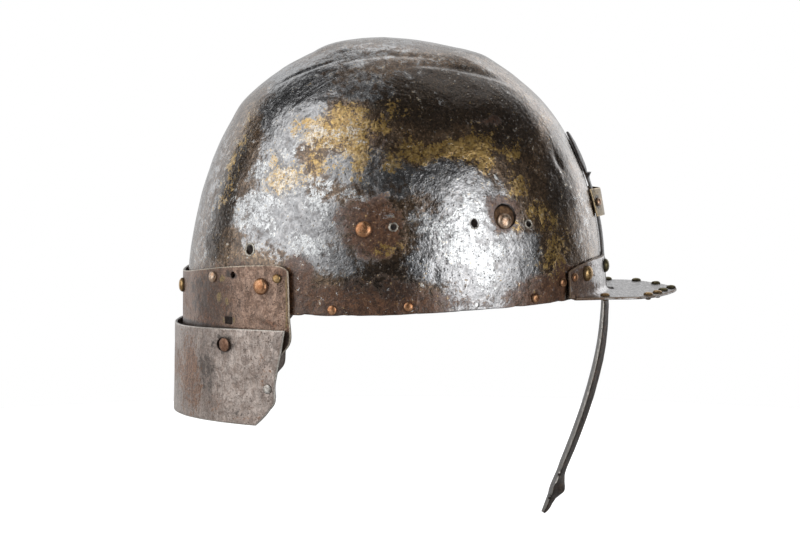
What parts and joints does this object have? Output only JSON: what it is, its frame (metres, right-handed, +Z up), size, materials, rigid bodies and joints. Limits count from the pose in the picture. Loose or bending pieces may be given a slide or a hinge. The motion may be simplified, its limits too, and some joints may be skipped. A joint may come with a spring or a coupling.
{
  "type": "ottoman helmet with peak, sliding nasal bar and lamed neck guard",
  "caption": "Domed iron helmet with a riveted peak, a nasal bar that slides through a staple, and a neck guard of two curved lames.",
  "frame": {"origin": "middle of the head opening, level with the rim, where the helmet sits on a head", "axes": "+Z up, -Y the way the face looks, -X the wearer's right side"},
  "size_m": [0.1952, 0.2695, 0.2563],
  "materials": {
    "skull_iron": "patinated wrought iron with worn silver and gilt remnants and rust",
    "lame_iron": "pitted brown-grey wrought iron sheet",
    "peak_iron": "satin grey iron sheet, brown towards the flange",
    "bar_iron": "dark forged iron, bright on the edges",
    "staple_brass": "darkened brass",
    "rivet_copper": "worn copper",
    "rivet_brass": "dark brass"
  },
  "bodies": {
    "shell": {"skull": "skull_iron", "skull_plug": "skull_iron", "peak": "peak_iron", "nasal_staple": "staple_brass", "neck_lame_upper": "lame_iron", "skull_rivet_r1": "rivet_copper", "skull_rivet_r2": "rivet_copper", "skull_rivet_l1": "rivet_copper", "skull_rivet_l2": "rivet_copper", "rim_rivet_r1": "rivet_copper", "rim_rivet_r2": "rivet_copper", "rim_rivet_r3": "rivet_copper", "rim_rivet_r4": "rivet_copper", "rim_rivet_l1": "rivet_copper", "rim_rivet_l2": "rivet_copper", "rim_rivet_l3": "rivet_copper", "rim_rivet_l4": "rivet_copper", "nape_rivet_mid": "rivet_copper", "nape_rivet_r1": "rivet_copper", "nape_rivet_r2": "rivet_copper", "nape_rivet_r3": "rivet_copper", "nape_rivet_l1": "rivet_copper", "nape_rivet_l2": "rivet_copper", "nape_rivet_l3": "rivet_copper", "lame_pivot_r": "rivet_copper", "lame_pivot_l": "rivet_copper", "flange_rivet_r1": "rivet_brass", "flange_rivet_r2": "rivet_brass", "flange_rivet_r3": "rivet_brass", "flange_rivet_l1": "rivet_brass", "flange_rivet_l2": "rivet_brass", "flange_rivet_l3": "rivet_brass", "peak_rivet_r1": "rivet_brass", "peak_rivet_r2": "rivet_brass", "peak_rivet_r3": "rivet_brass", "peak_rivet_r4": "rivet_brass", "peak_rivet_tip": "rivet_brass", "peak_rivet_l1": "rivet_brass", "peak_rivet_l2": "rivet_brass", "peak_rivet_l3": "rivet_brass", "staple_rivet_r": "rivet_brass", "staple_rivet_l": "rivet_brass"},
    "nasal_bar": {"nasal": "bar_iron"},
    "lower_lame": {"neck_lame_lower": "lame_iron", "lame_rivet_r": "rivet_copper", "lame_rivet_l": "rivet_copper"}
  },
  "joints": [
    {"name": "nasal_slide", "type": "hinge", "parent": "shell", "child": "nasal_bar", "pos_m": [0, 0.1186, 0.0126], "axis": [-1, 0, 0], "range_deg": [0, 9]},
    {"name": "lame_swing", "type": "hinge", "parent": "shell", "child": "lower_lame", "pos_m": [0, 0.088, -0.0159], "axis": [1, 0, 0], "range_deg": [0, 10]}
  ]
}
